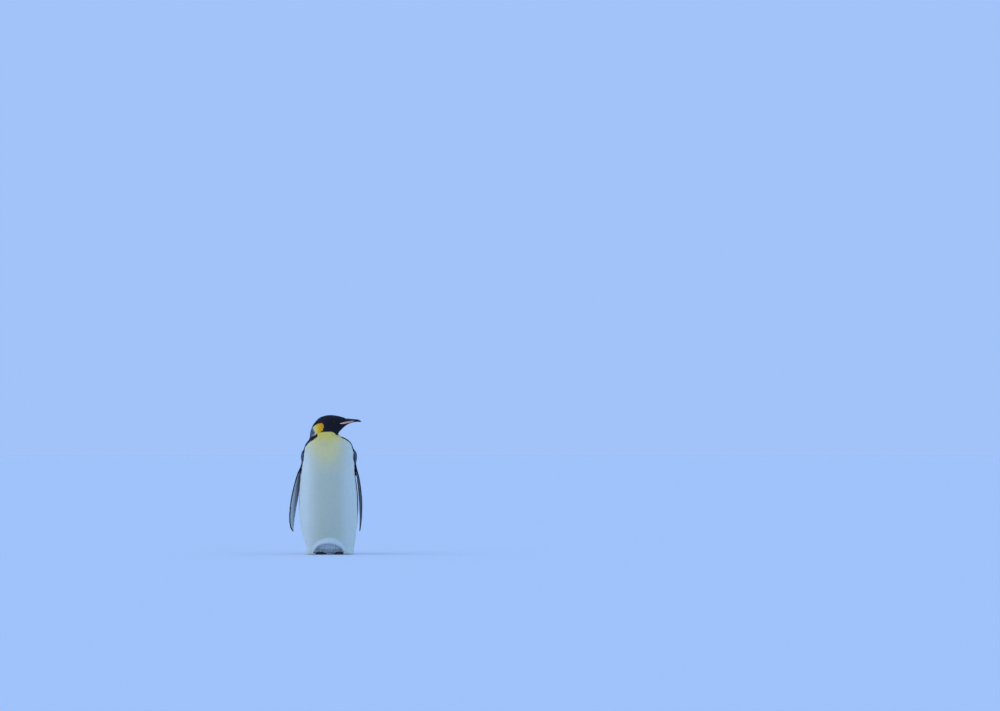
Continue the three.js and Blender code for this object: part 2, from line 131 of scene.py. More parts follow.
def curve(value, *pairs):
    """The value of a line through (place, value) pairs."""
    places, values = zip(*pairs)
    return np.interp(value, places, values)


def unit(vectors):
    return vectors / np.maximum(np.linalg.norm(vectors, axis=-1, keepdims=True), 1e-12)


# ---- mesh helpers ------------------------------------------------------------------------------


def deselect_all():
    for obj in bpy.context.selected_objects:
        obj.select_set(False)


def make_active(obj):
    deselect_all()
    obj.select_set(True)
    bpy.context.view_layer.objects.active = obj


def link(obj):
    bpy.context.scene.collection.objects.link(obj)
    return obj


def flipper_spread(z):
    """How far the flippers are held off the trunk at a height, in metres."""
    return FLIPPER_SPREAD * np.clip((FLIPPER_ROOT - z) / SPREAD_OVER, 0, 1)


def joined_copy(names, label, grow=0.0):
    """One object of the welded meshes of several CAD nodes, each grown a little along its normals.

    The flippers are spread, so that the gap between flipper and trunk stays open in the voxels.
    """
    whole = bmesh.new()
    for name in names:
        outwards = SIDES[name.split("_")[0]] if name in FLIPPERS else 0
        part = bmesh.new()
        part.from_mesh(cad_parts[name].data)
        bmesh.ops.remove_doubles(part, verts=part.verts, dist=1e-5)
        part.normal_update()
        for vertex in part.verts:
            vertex.co += vertex.normal * grow
            vertex.co.x += outwards * flipper_spread(vertex.co.z)
        scratch = bpy.data.meshes.new("scratch")
        part.to_mesh(scratch)
        part.free()
        whole.from_mesh(scratch)
        bpy.data.meshes.remove(scratch)
    mesh = bpy.data.meshes.new(label)
    whole.to_mesh(mesh)
    whole.free()
    return link(bpy.data.objects.new(label, mesh))


def apply_modifier(obj, kind, **settings):
    make_active(obj)
    modifier = obj.modifiers.new(kind.title(), kind)
    for key, value in settings.items():
        setattr(modifier, key, value)
    bpy.ops.object.modifier_apply(modifier=modifier.name)


def points_of(mesh):
    flat = np.empty(len(mesh.vertices) * 3, np.float32)
    mesh.vertices.foreach_get("co", flat)
    return flat.reshape(-1, 3).astype(float)


def set_points(mesh, points):
    mesh.vertices.foreach_set("co", np.asarray(points, np.float32).ravel())
    mesh.update()


def normals_of(mesh):
    flat = np.empty(len(mesh.vertices) * 3, np.float32)
    mesh.vertex_normals.foreach_get("vector", flat)
    return flat.reshape(-1, 3).astype(float)


def edges_of(mesh):
    flat = np.empty(len(mesh.edges) * 2, np.int32)
    mesh.edges.foreach_get("vertices", flat)
    return flat.reshape(-1, 2)


def triangles_of(mesh):
    mesh.calc_loop_triangles()
    corners = np.empty(len(mesh.loop_triangles) * 3, np.int32)
    mesh.loop_triangles.foreach_get("vertices", corners)
    loops = np.empty(len(mesh.loop_triangles) * 3, np.int32)
    mesh.loop_triangles.foreach_get("loops", loops)
    return corners.reshape(-1, 3), loops.reshape(-1, 3)


def neighbour_mean(values, edges):
    """The mean of each vertex's neighbours, for an array of one or more columns."""
    columns = values.reshape(len(values), -1)
    count = np.bincount(edges.ravel(), minlength=len(values))
    total = np.empty_like(columns)
    for column in range(columns.shape[1]):
        held = columns[:, column]
        total[:, column] = np.bincount(edges[:, 0], held[edges[:, 1]], len(values))
        total[:, column] += np.bincount(edges[:, 1], held[edges[:, 0]], len(values))
    return (total / np.maximum(count, 1)[:, None]).reshape(values.shape)


def eased(values, edges, passes):
    """values smoothed over the mesh; passes is a number, or one number for each vertex."""
    passes = np.broadcast_to(passes, len(values))
    for step in range(int(np.ceil(passes.max()))):
        share = 0.5 * np.clip(passes - step, 0, 1)
        share = share.reshape(-1, *([1] * (values.ndim - 1)))
        values = values * (1 - share) + neighbour_mean(values, edges) * share
    return values


def add_attribute(mesh, name, kind, values, domain="POINT"):
    layer = mesh.attributes.new(name, kind, domain)
    field, number = {"BOOLEAN": ("value", bool), "FLOAT_COLOR": ("color", np.float32)}[kind]
    layer.data.foreach_set(field, np.asarray(values, number).ravel())


def shade_smooth(mesh):
    mesh.polygons.foreach_set("use_smooth", np.ones(len(mesh.polygons), bool))
    mesh.update()


def ride(piece):
    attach(piece, BODY)


# ---- markings ----------------------------------------------------------------------------------
#
# Places are in millimetres, and angles in degrees round the body. A share runs from 0 to 1.

FOLD_MIDDLE = (3, 12)  # x and z of the middle of the brood fold's arch
FOLD_OPENING = (80, 67)  # half its width, and its height
FOLD_ROUNDNESS = 2.6  # 2 is a plain ellipse, and more is squarer
NEUTRAL_WHITE = 0.31  # the share of cream in clean white plumage
ALL_BLACK = (1, 0, 0, 0)
FLIPPER_SKIN = (5.9, 6.9)  # how far inwards of the chord a flipper ends and its armpit starts


def bird_place(points):
    """x from the body's middle plane, y from its middle and z, in millimetres."""
    x = (points[:, 0] - MIDDLE_X) * 1000
    y = (points[:, 1] - BODY_Y) * 1000
    return x, y, points[:, 2] * 1000


def around(x, y, z):
    """Degrees round the body from the middle of the breast to 180 on the back, minus to the bird's
    right. The middle turns with the neck."""
    middle = curve(z, (5, 8), (140, 1), (450, -4), (640, -2), (695, -29), (760, -27))
    width = curve(
        z, (5, 139), (81, 152), (197, 168), (313, 175), (430, 166), (518, 158), (624, 141), (660, 115),
        (695, 80), (760, 66),
    )
    front = curve(
        z, (5, 112), (60, 138), (140, 158), (250, 168), (380, 157), (500, 132), (590, 108), (640, 88),
        (700, 68), (760, 55),
    )
    back = curve(
        z, (5, 88), (60, 112), (140, 130), (300, 149), (430, 147), (540, 130), (620, 106), (700, 68),
        (760, 55),
    )
    depth = np.where(y < 0, front, back)
    bearing = np.degrees(np.arctan2((x - middle) / width, -y / depth))
    return (bearing - 90 * smoothstep(640, 725, z) + 180) % 360 - 180


def fold_reach(x, z, half_width, half_height):
    """1 on an arch of this size round the brood fold, and less within it."""
    return np.hypot((x - FOLD_MIDDLE[0]) / half_width, (z - FOLD_MIDDLE[1]) / half_height)


def back_and_band(z, angle, signed):
    """The dark back below the neck, and the black band along its edge."""
    right_edge = curve(
        z, (5, 106), (50, 99), (100, 93), (200, 87), (300, 84), (400, 81), (480, 79), (520, 77.5),
        (570, 74.5), (605, 73), (635, 63), (655, 55), (668, 54.5), (676, 60), (684, 70), (691, 80),
        (698, 90),
    )
    left_edge = curve(
        z, (5, 106), (50, 99), (100, 93), (190, 86), (230, 79), (300, 76), (400, 76), (480, 77),
        (520, 77.5), (570, 77.5), (610, 77), (630, 74), (645, 69), (658, 57), (668, 40), (674, 31),
        (680, 66), (690, 92), (696, 95),
    )
    wedge_top = curve(
        angle, (76, 698), (83, 696), (88.6, 688), (93, 679), (97, 671), (110, 662), (140, 657), (180, 652)
    )
    white_edge = np.where(signed < 0, right_edge, left_edge)
    band_width = curve(z, (5, 12), (300, 15), (480, 9), (600, 10), (645, 24), (672, 36), (690, 36))
    above = smoothstep(-1.6, 1.6, z - wedge_top)
    back = smoothstep(-1.5, 1.5, angle - white_edge) * (1 - above)
    band = back * (1 - smoothstep(-2.5, 4, angle - white_edge - band_width))
    return above, back, band


def hood_and_neck(z, angle, signed, above):
    """The black hood, and the neck behind the cheeks, between the hood and the back."""
    cheek_edge = curve(
        z, (692, 91), (704, 90.5), (713, 91), (726, 92), (738, 89.1), (750, 93.1), (758, 103)
    )
    patch_roof = curve(
        angle, (88, 748), (93, 751), (101, 756), (112, 756), (122, 752), (135, 744), (147, 736), (165, 728),
        (180, 725),
    )
    right_bib = curve(
        angle, (0, 688), (8, 692.5), (26, 701), (47, 707), (65, 707.5), (83, 704.5), (91, 703)
    )
    left_bib = curve(angle, (0, 688), (30, 690), (60, 700), (91, 706))
    bib_edge = np.where(signed < 0, right_bib, left_bib)
    behind = smoothstep(-1.4, 1.4, angle - cheek_edge)
    face = smoothstep(-1.6, 1.6, z - bib_edge) * (1 - behind)
    hood = np.maximum(face, smoothstep(-1.8, 1.8, z - patch_roof))
    neck_front = np.minimum(cheek_edge, curve(z, (688, 90), (696, 86), (707, 86), (714, 90)))
    neck = smoothstep(-2, 2, angle - neck_front) * above * (1 - hood)
    return hood, neck


def ear_patch(z, angle):
    """How slate, how yellow and how warm the neck is, from the patch's front edge to the nape."""
    patch_front = curve(z, (683, 84), (698, 85), (712, 90), (726, 92), (738, 89), (750, 93), (758, 103))
    blue_middle = curve(
        z, (668, 90), (683, 93), (690, 96), (698, 103), (705, 113), (714, 130), (725, 144), (735, 152),
        (758, 165),
    )
    across = (angle - patch_front) / (blue_middle - patch_front)
    blue = smoothstep(0.72, 1.2, across)
    warm = curve(across, (0, 1), (0.1, 0.95), (0.2, 0.55), (0.4, 0.4), (0.58, 0.06), (0.75, 0))
    warm = np.minimum(warm, curve(z, (700, 0.4), (714, 0.5), (730, 1)))
    lemon = 1 - 0.45 * smoothstep(0.6, 1.1, across)
    return blue, lemon * (1 - blue), warm * (1 - blue)


def breast_tints(x, y, z):
    """How yellow and how buff the breast and belly are; the buff is partly the plumage's own tone and
    partly painted shade, heaviest in the middle of the front.
    """
    off = x + curve(z, (560, 0), (640, 24), (690, 10))
    right_reach = curve(z, (540, 86), (590, 108), (630, 120), (690, 128))
    left_reach = curve(z, (560, 80), (620, 104), (690, 120))
    fall = np.exp(-((np.abs(off) / np.where(off < 0, right_reach, left_reach)) ** 3))
    glow = fall * curve(
        z, (450, 0.0), (516, 0.24), (560, 0.44), (591, 0.55), (632, 0.58), (661, 0.76), (690, 1),
        (712, 0.85),
    )
    # A whiter band round the brood fold: partly whiter down and partly painted light, as its fluffy lip is
    # lit from the sides.
    clean_and_lit = smoothstep(1.06, 0.97, fold_reach(x, z, 96, 80)) * (y < -40)
    soil = 0.11 * np.exp(-z / 28) * (y < -20) * (1 - clean_and_lit)
    stain = 0.5 * np.exp(-(((x + 50) / 26) ** 2)) * smoothstep(30, 4, z) * (y < -60)
    # A creamy tint, heaviest in the middle of the front: partly the belly's own wash and partly painted
    # shade, darker where the middle faces forward and less light falls on it than on the flanks.
    cream_and_shade = 0.31 * np.exp(-(((x - 2) / 92) ** 4)) * smoothstep(40, -40, y) * (1 - clean_and_lit)
    hem = smoothstep(130, 20, z) * (1 - clean_and_lit)
    ivory = 0.47 - 0.16 * clean_and_lit - 0.17 * hem - 0.1 * smoothstep(-95, -125, x)
    return np.clip(glow + soil + stain, 0, 1), np.clip(cream_and_shade * (1 - glow) + ivory, 0, 1)


def body_marks(points):
    """Black, slate, yellow and warm shares of the plumage of trunk, neck, legs and head.

    Warm runs over gold at a half to orange at one, and below nothing to the buff at minus one, which on the
    belly is partly painted shade.
    """
    x, y, z = bird_place(points)
    signed = around(x, y, z)
    angle = np.abs(signed)
    above, back, band = back_and_band(z, angle, signed)
    hood, neck = hood_and_neck(z, angle, signed, above)
    breast = np.clip(1 - hood - back - neck, 0, 1)
    blue, lemon, warm = ear_patch(z, angle)
    yellow, buff_and_shade = breast_tints(x, y, z)
    below_patch = np.exp(-(((angle - 85) / 6) ** 2) - ((z - 700) / 7) ** 2)
    amber = 0.75 * below_patch * (signed < 0) * breast
    black = np.maximum(hood, band)
    slate = np.maximum(back - band + neck * blue, 0)
    # The breast's buff, partly painted shade, goes in as a negative warm share.
    warm = neck * warm + amber - breast * buff_and_shade * (1 - amber)
    return np.stack([black, slate, neck * lemon + breast * yellow, warm], 1)


class FlipperFrame:
    """A flipper's leading and trailing edges at each height, which give its chord, taken from its own
    surface.
    """

    def __init__(self, points, side):
        self.side = side
        heights = np.arange(0.13, 0.6, 0.008)
        rows = []
        for height in heights:
            ring = points[np.abs(points[:, 2] - height) < 0.005]
            lead, trail = ring[ring[:, 1].argmin(), :2], ring[ring[:, 1].argmax(), :2]
            rows.append(np.concatenate([lead, trail]))
        kernel = np.ones(5) / 5
        rows = np.pad(np.array(rows), ((2, 2), (0, 0)), mode="edge")
        self.heights = heights
        self.rows = np.stack([np.convolve(column, kernel, mode="valid") for column in rows.T])

    def place(self, points):
        """How far each point lies behind the leading edge and before the trailing edge, and
        how far it lies towards the body from the chord."""
        lead_x, lead_y, trail_x, trail_y = (np.interp(points[:, 2], self.heights, row) for row in self.rows)
        chord = np.stack([trail_x - lead_x, trail_y - lead_y], 1)
        size = np.linalg.norm(chord, axis=1)
        chord = chord / size[:, None]
        offset = points[:, :2] - np.stack([lead_x, lead_y], 1)
        behind = (offset * chord).sum(1)
        inward = -self.side * (offset[:, 0] * chord[:, 1] - offset[:, 1] * chord[:, 0])
        return behind * 1000, (size - behind) * 1000, inward * 1000


def flipper_marks(points, flipper):
    """Dark outside; pale towards the body, with a dark leading edge, trailing line and tip."""
    z = points[:, 2] * 1000
    from_lead, from_trail, inward = flipper.place(points)
    trail_line = curve(
        z, (150, 3), (200, 5), (300, 7), (340, 11), (380, 14), (440, 16), (466, 22), (476, 70)
    )
    rim_width = curve(z, (150, 8), (300, 20), (480, 22), (540, 5))
    armpit = smoothstep(*FLIPPER_SKIN, inward)
    pale = smoothstep(-0.3, 1.2, inward) * smoothstep(8.5, 11, from_lead)
    pale = pale * smoothstep(-1, 1, from_trail - trail_line) * smoothstep(129, 141, z - 0.12 * from_trail)
    pale = pale * (1 - armpit)
    rim = smoothstep(rim_width, rim_width / 2, from_lead) * (1 - pale)
    tip = smoothstep(146, 132, z)
    black = np.clip(np.maximum(rim, tip) * (1 - pale) + 0.25 * (1 - pale), 0, 1)
    black = np.maximum(black, armpit)
    slate = np.clip(1 - black - pale, 0, 1)
    return np.stack([black, slate, np.zeros_like(z), np.zeros_like(z)], 1)


def fold_marks(points):
    """A white lip round the inside of the brood fold, where slate in streaks is painted shade."""
    x, _, z = bird_place(points)
    across, up = np.abs(x / FOLD_OPENING[0]), np.abs(z / FOLD_OPENING[1])
    reach = (across**FOLD_ROUNDNESS + up**FOLD_ROUNDNESS) ** (1 / FOLD_ROUNDNESS)
    shade_streak = 0.5 + 0.5 * np.sin(x * 0.62 + 1.7 * np.sin(x * 0.21) + 0.9 * np.sin(z * 0.09))
    inside = smoothstep(1.0, 0.86, reach - 0.08 * shade_streak)
    # The slate inside the fold is painted shade, in streaks that stand for the dark gaps between hanging
    # feathers; no buff is painted there, so the shaded white reads bluer.
    slate = inside * (0.12 + 0.3 * shade_streak)
    nothing = np.zeros_like(x)
    return np.stack([nothing, slate, nothing, -NEUTRAL_WHITE * (1 - inside)], 1)


def marks_at(points, part, flippers):
    """The four shares at each point, by the solid that it belongs to."""
    marks = body_marks(points)
    for name, flipper in flippers.items():
        on_it = on_parts(part, [name])
        marks[on_it] = flipper_marks(points[on_it], flipper)
    fold = on_parts(part, ["brood_fold"])
    marks[fold] = fold_marks(points[fold])
    marks[on_parts(part, ("tail", *FEET))] = ALL_BLACK
    return marks


# ---- skin --------------------------------------------------------------------------------------

NECK_PASSES = 150  # of easing where the neck meets the trunk
SHOULDER_PASSES = 46  # of easing where a flipper leaves the trunk
FLIPPER_SINK = 0.3  # the most that the skin sinks into a flipper, as a share of its thickness
OWN_FEATHERS = 0.52  # the height under which a flipper's feathers are its own size


def nearest_part(points):
    """For each point, the index in FLESH of the solid nearest to it."""
    corners, faces, owner = [], [], []
    for index, name in enumerate(FLESH):
        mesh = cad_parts[name].data
        mesh.calc_loop_triangles()
        offset = len(corners)
        corners.extend(vertex.co for vertex in mesh.vertices)
        for triangle in mesh.loop_triangles:
            faces.append([offset + v for v in triangle.vertices])
            owner.append(index)
    tree = BVHTree.FromPolygons(corners, faces)
    return np.array([owner[tree.find_nearest(point)[2]] for point in points])


def ease_surface(mesh, passes):
    """Smooths the mesh, then gives back the volume that it lost, spread wide."""
    edges = edges_of(mesh)
    points = points_of(mesh)
    smooth = eased(points, edges, passes)
    set_points(mesh, smooth)
    normals = normals_of(mesh)
    lost = ((points - smooth) * normals).sum(1)
    lost = eased(lost, edges, 1.6 * passes + 4)
    set_points(mesh, smooth + normals * lost[:, None])


def ripple(points):
    """Slow swells of the plumage, a little under a millimetre high."""
    waves = np.random.default_rng(7)
    height = np.zeros(len(points))
    for _ in range(7):
        turn = waves.normal(0, 1, 3) * (1, 1, 0.55)
        turns = points @ unit(turn) / waves.uniform(0.05, 0.11)
        height += np.sin(turns * 2 * math.pi + waves.uniform(0, 6))
    return height * 0.00035


def room_within(mesh, points, chosen, share):
    """A share of the thickness of the solid under each chosen point, so that a thin one stays open."""
    corners, _ = triangles_of(mesh)
    tree = BVHTree.FromPolygons(points.tolist(), corners.tolist())
    inward = -normals_of(mesh)
    room = np.full(len(points), 1.0)
    for index in np.flatnonzero(chosen):
        start = Vector(points[index] + inward[index] * 1e-4)
        distance = tree.ray_cast(start, Vector(inward[index]), 0.05)[3]
        room[index] = 0.05 if distance is None else distance
    room[chosen] *= share
    return room


def build_skin():
    skin = joined_copy(FLESH, "skin", GAP_CLOSING)
    apply_modifier(skin, "REMESH", mode="VOXEL", voxel_size=SKIN_VOXEL)
    mesh = skin.data
    points = points_of(mesh)
    edges = edges_of(mesh)
    part = nearest_part(points)
    for side, sign in SIDES.items():
        on_it = on_parts(part, [f"{side}_flipper"])
        points[on_it, 0] -= sign * flipper_spread(points[on_it, 2])
    set_points(mesh, points)

    def by_part(key, ease):
        values = np.array([COATS[name][key] for name in FLESH], float)[part]
        return eased(values, edges, ease)

    passes = by_part("passes", 6)
    z = points[:, 2]
    on_flipper = on_parts(part, FLIPPERS)
    body = on_parts(part, ("trunk", "neck"))
    neck_root = smoothstep(0.6, 0.66, z) * (1 - smoothstep(0.7, 0.745, z)) * body
    shoulder = smoothstep(0.46, 0.53, z) * on_flipper
    at_joins = eased(NECK_PASSES * neck_root + SHOULDER_PASSES * shoulder, edges, 6)
    passes = np.maximum(passes, at_joins)
    ease_surface(mesh, passes)

    points = points_of(mesh)
    swell = ripple(points) * eased(body.astype(float), edges, 12)
    sink = by_part("depth", 10) + GAP_CLOSING - swell
    sink = np.minimum(sink, room_within(mesh, points, on_flipper, FLIPPER_SINK))
    points = points - normals_of(mesh) * sink[:, None]
    points[:, 2] = np.maximum(points[:, 2], 0)
    set_points(mesh, points)

    flippers = {}
    for side, sign in SIDES.items():
        name = f"{side}_flipper"
        flippers[name] = FlipperFrame(points[on_parts(part, [name])], sign)
    add_attribute(mesh, "marks", "FLOAT_COLOR", marks_at(points, part, flippers))
    shade_smooth(mesh)
    unwrap(skin)
    fields = {key: by_part(key, 40) for key in ("length", "width", "spacing", "lift")}
    for key, values in fields.items():
        own = by_part(key, 3)
        fields[key] = np.where(on_flipper & (z < OWN_FEATHERS), own, values)
    return skin, part, flippers, fields


def unwrap(obj):
    make_active(obj)
    obj.data.uv_layers.new(name="OFBake")
    bpy.ops.object.mode_set(mode="EDIT")
    bpy.ops.mesh.select_all(action="SELECT")
    bpy.ops.uv.smart_project(angle_limit=math.radians(75), island_margin=0.002)
    bpy.ops.object.mode_set(mode="OBJECT")


# ---- plumage -----------------------------------------------------------------------------------

VANE_SHAPE = ((0.22, 0.7), (0.56, 1.0), (0.86, 0.66), (1.0, 0))  # place along, share of the width
MARKED_ROW = 2  # the row of a vane at whose place the whole vane takes its markings
TUFT_PATCH = 0.003  # the size of a vane's patch of the OFBake map
FLOOR_CLEARANCE = 0.001
BARE_SOLE = 0.004  # the height under which nothing grows
FACE_REACH = 0.11  # from the bill's root to the last feathers that might touch it
HEM_TOP, BREAST_FOOT = 130, 400  # heights in millimetres at which the body's plumage is parted
HORN_MARGIN = 0.0018  # bare skin round the bill and its plates
TIP_MARGIN = 0.0011  # between a vane and the horn that it lies beside


class Surface:
    """The skin's surface: the nearest point on it, and its smooth normal there."""

    def __init__(self, points, corners, normals):
        self.tree = BVHTree.FromPolygons(points.tolist(), corners.tolist())
        self.normals = unit(normals[corners].mean(1))

    def nearest(self, places):
        hits = [self.tree.find_nearest(place) for place in places.tolist()]
        return np.array([hit[0] for hit in hits]), self.normals[[hit[2] for hit in hits]]

    def walk(self, start, flow, normals, steps, tip_free=0):
        """Points on the surface at each step's distance from start, which head along flow."""
        place, heading, normal = start, flow, normals
        places, upward = [], []
        for index, step in enumerate(steps):
            place = place + heading * step[:, None]
            if index < len(steps) - tip_free:
                place, normal = self.nearest(place)
            heading = unit(heading - normal * (heading * normal).sum(1)[:, None])
            places.append(place)
            upward.append(normal)
        return np.stack(places, 1), np.stack(upward, 1)


def scatter(points, corners, spacing, feathered):
    """Triangles and weights of roots that lie about a spacing apart on the feathered triangles."""
    a, b, c = (points[corners[:, i]] for i in range(3))
    area = np.linalg.norm(np.cross(b - a, c - a), axis=1) / 2
    room = np.maximum(spacing[corners].mean(1), 1e-4) ** 2
    wanted = np.where(feathered, area / room, 0)
    tried = rng.choice(len(corners), size=int(wanted.sum() * 4), p=wanted / wanted.sum())
    u, v = rng.random((2, len(tried)))
    fold = u + v > 1
    u, v = np.where(fold, 1 - u, u), np.where(fold, 1 - v, v)
    weights = np.stack([1 - u - v, u, v], 1)
    places = (points[corners[tried]] * weights[:, :, None]).sum(1)
    radius = (spacing[corners[tried]] * weights).sum(1)
    tree = KDTree(len(places))
    for index, place in enumerate(places):
        tree.insert(place, index)
    tree.balance()
    free = np.ones(len(places), bool)
    kept = []
    for index in range(len(places)):
        if free[index]:
            kept.append(index)
            for _, near, _ in tree.find_range(places[index], radius[index]):
                free[near] = False
    kept = np.array(kept)
    return tried[kept], weights[kept]


def lie_of_coat(places, normals, part):
    """The direction in which the vanes lie: back from the bill, then down the body."""
    away = places - BILL_ROOT
    distance = np.linalg.norm(away, axis=1)
    pull = np.where(on_parts(part, ("head", "neck")), 1 - smoothstep(0.07, 0.2, distance), 0)[:, None]
    flow = unit(away) * pull + np.array([0.0, 0.0, -1.0]) * (1 - pull)
    flow[on_parts(part, ["tail"])] = (0, 0.68, -0.73)
    flow[on_parts(part, FLIPPERS)] = (0, 0.3, -0.95)
    flow = flow - normals * (flow * normals).sum(1)[:, None]
    return unit(flow)


def leaf_faces(rows):
    """Triangles of a closed leaf: a root point, rows of left, ridge and right points, and a tip."""
    faces = [(0, 2, 1), (0, 3, 2), (0, 1, 3)]
    for row in range(1, 3 * rows - 3, 3):
        left, ridge, right, left_on, ridge_on, right_on = range(row, row + 6)
        faces += [(left, ridge, ridge_on), (left, ridge_on, left_on)]
        faces += [(ridge, right, right_on), (ridge, right_on, ridge_on)]
        faces += [(left, left_on, right_on), (left, right_on, right)]
    last = 3 * rows - 2
    tip = 3 * rows + 1
    faces += [(last, last + 1, tip), (last + 1, last + 2, tip), (last, tip, last + 2)]
    return np.array(faces, np.int32)


def leaves(name, roots, rows, upward, size, shape, marks, spots, material):
    """A joined mesh of closed, leaf-shaped vanes.

    rows and upward hold each vane's points and normals on the skin, its tip last. shape is, for
    each row, its place along the vane, its share of the width and its share of the lift.
    """
    count, places = rows.shape[:2]
    width, lift = (value[:, None] for value in size)
    along, share, rise = (np.array(values) for values in zip(*shape))
    heading = np.diff(np.concatenate([roots[:, None], rows], 1), axis=1)
    across = unit(np.cross(heading, upward))
    middle = rows + upward * (lift * rise)[:, :, None]
    side = across * (width * share * 0.5)[:, :, None]
    ridge = upward * (width * share * 0.11)[:, :, None]
    bend = upward * (width * share * 0.05)[:, :, None]
    body = np.stack([middle - side - bend, middle + ridge, middle + side - bend], 2)[:, :-1]
    root = roots - upward[:, 0] * (lift * 0.35)
    points = np.concatenate([root[:, None], body.reshape(count, -1, 3), middle[:, -1:]], 1)
    points[:, :, 2] = np.maximum(points[:, :, 2], FLOOR_CLEARANCE)
    per_leaf = points.shape[1]

    faces = leaf_faces(places - 1)
    corners = (faces[None] + (np.arange(count) * per_leaf)[:, None, None]).reshape(-1, 3)
    mesh = bpy.data.meshes.new(name)
    mesh.vertices.add(count * per_leaf)
    mesh.vertices.foreach_set("co", points.astype(np.float32).ravel())
    mesh.loops.add(corners.size)
    mesh.loops.foreach_set("vertex_index", corners.ravel().astype(np.int32))
    mesh.polygons.add(len(corners))
    mesh.polygons.foreach_set("loop_start", np.arange(0, corners.size, 3, dtype=np.int32))
    mesh.update(calc_edges=True)
    shade_smooth(mesh)
    on_ridge = np.zeros(per_leaf, bool)
    on_ridge[2::3] = True
    ends = edges_of(mesh) % per_leaf
    add_attribute(mesh, "sharp_edge", "BOOLEAN", ~on_ridge[ends].any(1), "EDGE")

    lengthwise = np.concatenate([[0.0], np.repeat(along[:-1], 3), [1.0]])
    crosswise = np.concatenate([[0.0], np.outer(share[:-1], (-1, 0, 1)).ravel(), [0.0]])
    layer = mesh.uv_layers.new(name="OFBake")
    local = np.stack([crosswise * 0.5, lengthwise - 0.5], 1) * TUFT_PATCH
    uv = (spots[:, None] + local[None]).reshape(-1, 2)[corners.ravel()]
    layer.data.foreach_set("uv", uv.astype(np.float32).ravel())

    add_attribute(mesh, "marks", "FLOAT_COLOR", np.repeat(marks, per_leaf, 0))
    vane = np.ones((count, per_leaf, 4))
    vane[:, :, 0] = lengthwise
    vane[:, :, 1] = rng.random(count)[:, None]
    vane[:, :, 2] = np.abs(crosswise)
    add_attribute(mesh, "vane", "FLOAT_COLOR", vane.reshape(-1, 4))
    mesh.materials.append(material)
    return link(bpy.data.objects.new(name, mesh))


def hard_parts():
    """The bill, its plates and the claws as one surface that the plumage keeps off."""
    corners, faces = [], []
    for name in ["upper_bill", "lower_bill", "right_bill_plate", "left_bill_plate"] + CLAWS:
        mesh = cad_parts[name].data
        mesh.calc_loop_triangles()
        offset = len(corners)
        corners.extend(vertex.co for vertex in mesh.vertices)
        faces.extend([offset + v for v in triangle.vertices] for triangle in mesh.loop_triangles)
    return BVHTree.FromPolygons(corners, faces)


def whole_black(marks):
    """Marks in which each vane is either wholly black or not black at all."""
    black = marks[:, 0]
    chosen = black > rng.uniform(0.42, 0.58, len(black))
    others = marks[:, 1:] / np.maximum(1 - black, 0.2)[:, None]
    return np.concatenate([chosen[:, None], np.where(chosen[:, None], 0, np.minimum(others, 1))], 1)


def hang_hem(places, normals, part, length, rows, upward):
    """Let the vanes at the hem of the belly and the legs hang down, clear of the floor."""
    hem = on_parts(part, LEGS) & (places[:, 2] < 0.06) & (normals[:, 2] > -0.75)
    level = unit(normals[hem] * (1, 1, 0))
    share = smoothstep(0.06, 0.02, places[hem, 2])[:, None]
    room = places[hem, 2] - rng.uniform(0.001, 0.004, hem.sum())
    reach = np.maximum(np.minimum(length[hem], room), 0.003)
    for row, (along, _) in enumerate(VANE_SHAPE):
        hanging = places[hem] - np.array([0, 0, 1.0]) * (reach * along)[:, None]
        rows[hem, row] += (hanging - rows[hem, row]) * share
        upward[hem, row] = unit(upward[hem, row] * (1 - share) + level * share)


def from_eyes(places):
    return np.min([np.linalg.norm(places - eye, axis=1) for eye in EYES], axis=0)


def clear_roots(places, part, horn):
    """Which roots lie clear of the horn, of the lids and of the inside of the brood fold."""
    off_horn = np.array([horn.find_nearest(place, HORN_MARGIN)[0] is None for place in places.tolist()])
    x, y, z = bird_place(places)
    in_fold = on_parts(part, LEGS) & (y < -30) & (fold_reach(x, z, 86, 64) < 0.92)
    return off_horn & (from_eyes(places) > LID_REACH) & ~in_fold


def uneven_sizes(places, length, width, lift):
    """Each vane's length, width and lift, smaller towards bill and eyes, and no two quite alike."""
    count = len(places)
    from_bill = np.linalg.norm(places - BILL_ROOT, axis=1)
    by_bill = 0.42 + 0.58 * smoothstep(0.0, 0.09, from_bill)
    by_eye = 0.65 + 0.35 * smoothstep(0.009, 0.018, from_eyes(places))
    small = by_bill * by_eye
    length = length * small * rng.uniform(0.86, 1.14, count)
    width = width * (0.35 + 0.65 * small) * rng.uniform(0.9, 1.1, count)
    lift = lift * (0.5 + 0.5 * small) * rng.uniform(0.75, 1.25, count)
    return length, width, lift


def clear_rows(rows, roots, part, horn):
    """Which vanes of the head stay off the horn all along their length."""
    clear = np.ones(len(rows), bool)
    from_bill = np.linalg.norm(roots - BILL_ROOT, axis=1)
    for index in np.flatnonzero((from_bill < FACE_REACH) & on_parts(part, ["head"])):
        near = [horn.find_nearest(point, TIP_MARGIN)[0] for point in rows[index].tolist()]
        clear[index] = near == [None] * len(near)
    return clear


